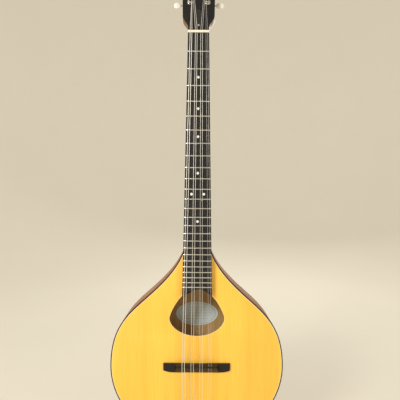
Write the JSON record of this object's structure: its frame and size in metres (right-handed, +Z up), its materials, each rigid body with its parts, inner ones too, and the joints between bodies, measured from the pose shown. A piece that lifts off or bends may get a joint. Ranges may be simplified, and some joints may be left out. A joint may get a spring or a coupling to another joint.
{
  "type": "octave mandolin",
  "caption": "Flat-topped long-necked mandolin with a pick-shaped soundhole, floating bridge, paired strings and open geared tuners.",
  "frame": {"origin": "on the centre line where the nut's lower face meets the plane the fingerboard is glued to, which is where a hanger's arms carry the instrument", "axes": "+Z runs up the neck to the headstock, +X is to the right seen from the strings' side, +Y points out of the back, and the strings face -Y"},
  "size_m": [0.332, 0.1, 0.9623],
  "materials": {
    "spruce": "gloss",
    "mahogany": "gloss",
    "lining_wood": "matte",
    "block_wood": "matte",
    "brace_spruce": "matte",
    "binding": "gloss",
    "neck_wood": "satin",
    "riser_wood": "satin",
    "ebony": "satin",
    "bridge_ebony": "satin",
    "fret_wire": "polished",
    "inlay": "gloss",
    "bone": "satin",
    "black_veneer": "gloss",
    "black_plastic": "gloss",
    "rod_steel": "satin",
    "brass": "satin",
    "screws": "polished",
    "nickel_plate": "satin",
    "nickel": "polished",
    "wound_string": "satin",
    "plain_string": "polished",
    "label_paper": "matte",
    "button_white": "gloss",
    "button_black": "gloss"
  },
  "bodies": {
    "body": {"soundboard": "spruce", "back_plate": "mahogany", "sides": "mahogany", "linings": "lining_wood", "neck_block": "block_wood", "tail_block": "block_wood", "top_braces": "brace_spruce", "back_braces": "brace_spruce", "bindings": "binding", "neck": "neck_wood", "fingerboard_riser": "riser_wood", "fingerboard": "ebony", "frets": "fret_wire", "inlay_dots": "inlay", "nut": "bone", "headstock_veneer": "black_veneer", "truss_rod": "rod_steel", "truss_rod_cover": "black_plastic", "cover_screw": "screws", "bridge": "bridge_ebony", "tailpiece": "nickel_plate", "tailpiece_screws": "screws", "strap_button": "button_black", "soundhole_label": "label_paper", "tuner_plates": "nickel_plate", "plate_screws": "screws", "post_bushings": "nickel", "string_1": "wound_string", "string_2": "wound_string", "string_3": "wound_string", "string_4": "wound_string", "string_5": "plain_string", "string_6": "plain_string", "string_7": "plain_string", "string_8": "plain_string"},
    "truss_rod_nut": {"truss_rod_nut": "brass"},
    "key_1": {"key_shaft_1": "nickel", "key_button_1": "button_white"},
    "post_1": {"string_post_1": "nickel"},
    "key_2": {"key_shaft_2": "nickel", "key_button_2": "button_white"},
    "post_2": {"string_post_2": "nickel"},
    "key_3": {"key_shaft_3": "nickel", "key_button_3": "button_white"},
    "post_3": {"string_post_3": "nickel"},
    "key_4": {"key_shaft_4": "nickel", "key_button_4": "button_white"},
    "post_4": {"string_post_4": "nickel"},
    "key_5": {"key_shaft_5": "nickel", "key_button_5": "button_white"},
    "post_5": {"string_post_5": "nickel"},
    "key_6": {"key_shaft_6": "nickel", "key_button_6": "button_white"},
    "post_6": {"string_post_6": "nickel"},
    "key_7": {"key_shaft_7": "nickel", "key_button_7": "button_white"},
    "post_7": {"string_post_7": "nickel"},
    "key_8": {"key_shaft_8": "nickel", "key_button_8": "button_white"},
    "post_8": {"string_post_8": "nickel"}
  },
  "joints": [
    {"name": "truss_rod_turn", "type": "hinge", "parent": "body", "child": "truss_rod_nut", "pos_m": [0, 0.009, 0.0265], "axis": [0, 0, 1], "range_deg": [-180, 180]},
    {"name": "key_turn_1", "type": "hinge", "parent": "body", "child": "key_1", "pos_m": [-0.017, 0.03624, 0.07058], "axis": [1, 0, 0], "continuous": true},
    {"name": "post_turn_1", "type": "hinge", "parent": "body", "child": "post_1", "pos_m": [-0.017, 0.03421, 0.06243], "axis": [0, 0.9703, -0.2419], "continuous": true},
    {"name": "key_turn_2", "type": "hinge", "parent": "body", "child": "key_2", "pos_m": [-0.017, 0.04181, 0.0929], "axis": [1, 0, 0], "continuous": true},
    {"name": "post_turn_2", "type": "hinge", "parent": "body", "child": "post_2", "pos_m": [-0.017, 0.03977, 0.08475], "axis": [0, 0.9703, -0.2419], "continuous": true},
    {"name": "key_turn_3", "type": "hinge", "parent": "body", "child": "key_3", "pos_m": [-0.017, 0.04737, 0.11521], "axis": [1, 0, 0], "continuous": true},
    {"name": "post_turn_3", "type": "hinge", "parent": "body", "child": "post_3", "pos_m": [-0.017, 0.04534, 0.10706], "axis": [0, 0.9703, -0.2419], "continuous": true},
    {"name": "key_turn_4", "type": "hinge", "parent": "body", "child": "key_4", "pos_m": [-0.017, 0.05293, 0.13753], "axis": [1, 0, 0], "continuous": true},
    {"name": "post_turn_4", "type": "hinge", "parent": "body", "child": "post_4", "pos_m": [-0.017, 0.0509, 0.12938], "axis": [0, 0.9703, -0.2419], "continuous": true},
    {"name": "key_turn_5", "type": "hinge", "parent": "body", "child": "key_5", "pos_m": [0.017, 0.05293, 0.13753], "axis": [1, 0, 0], "continuous": true},
    {"name": "post_turn_5", "type": "hinge", "parent": "body", "child": "post_5", "pos_m": [0.017, 0.0509, 0.12938], "axis": [0, 0.9703, -0.2419], "continuous": true},
    {"name": "key_turn_6", "type": "hinge", "parent": "body", "child": "key_6", "pos_m": [0.017, 0.04737, 0.11521], "axis": [1, 0, 0], "continuous": true},
    {"name": "post_turn_6", "type": "hinge", "parent": "body", "child": "post_6", "pos_m": [0.017, 0.04534, 0.10706], "axis": [0, 0.9703, -0.2419], "continuous": true},
    {"name": "key_turn_7", "type": "hinge", "parent": "body", "child": "key_7", "pos_m": [0.017, 0.04181, 0.0929], "axis": [1, 0, 0], "continuous": true},
    {"name": "post_turn_7", "type": "hinge", "parent": "body", "child": "post_7", "pos_m": [0.017, 0.03977, 0.08475], "axis": [0, 0.9703, -0.2419], "continuous": true},
    {"name": "key_turn_8", "type": "hinge", "parent": "body", "child": "key_8", "pos_m": [0.017, 0.03624, 0.07058], "axis": [1, 0, 0], "continuous": true},
    {"name": "post_turn_8", "type": "hinge", "parent": "body", "child": "post_8", "pos_m": [0.017, 0.03421, 0.06243], "axis": [0, 0.9703, -0.2419], "continuous": true}
  ],
  "couplings": [
    {"joint": "post_turn_1", "follows": "key_turn_1", "ratio": 0.0625},
    {"joint": "post_turn_2", "follows": "key_turn_2", "ratio": 0.0625},
    {"joint": "post_turn_3", "follows": "key_turn_3", "ratio": 0.0625},
    {"joint": "post_turn_4", "follows": "key_turn_4", "ratio": 0.0625},
    {"joint": "post_turn_5", "follows": "key_turn_5", "ratio": -0.0625},
    {"joint": "post_turn_6", "follows": "key_turn_6", "ratio": -0.0625},
    {"joint": "post_turn_7", "follows": "key_turn_7", "ratio": -0.0625},
    {"joint": "post_turn_8", "follows": "key_turn_8", "ratio": -0.0625}
  ]
}
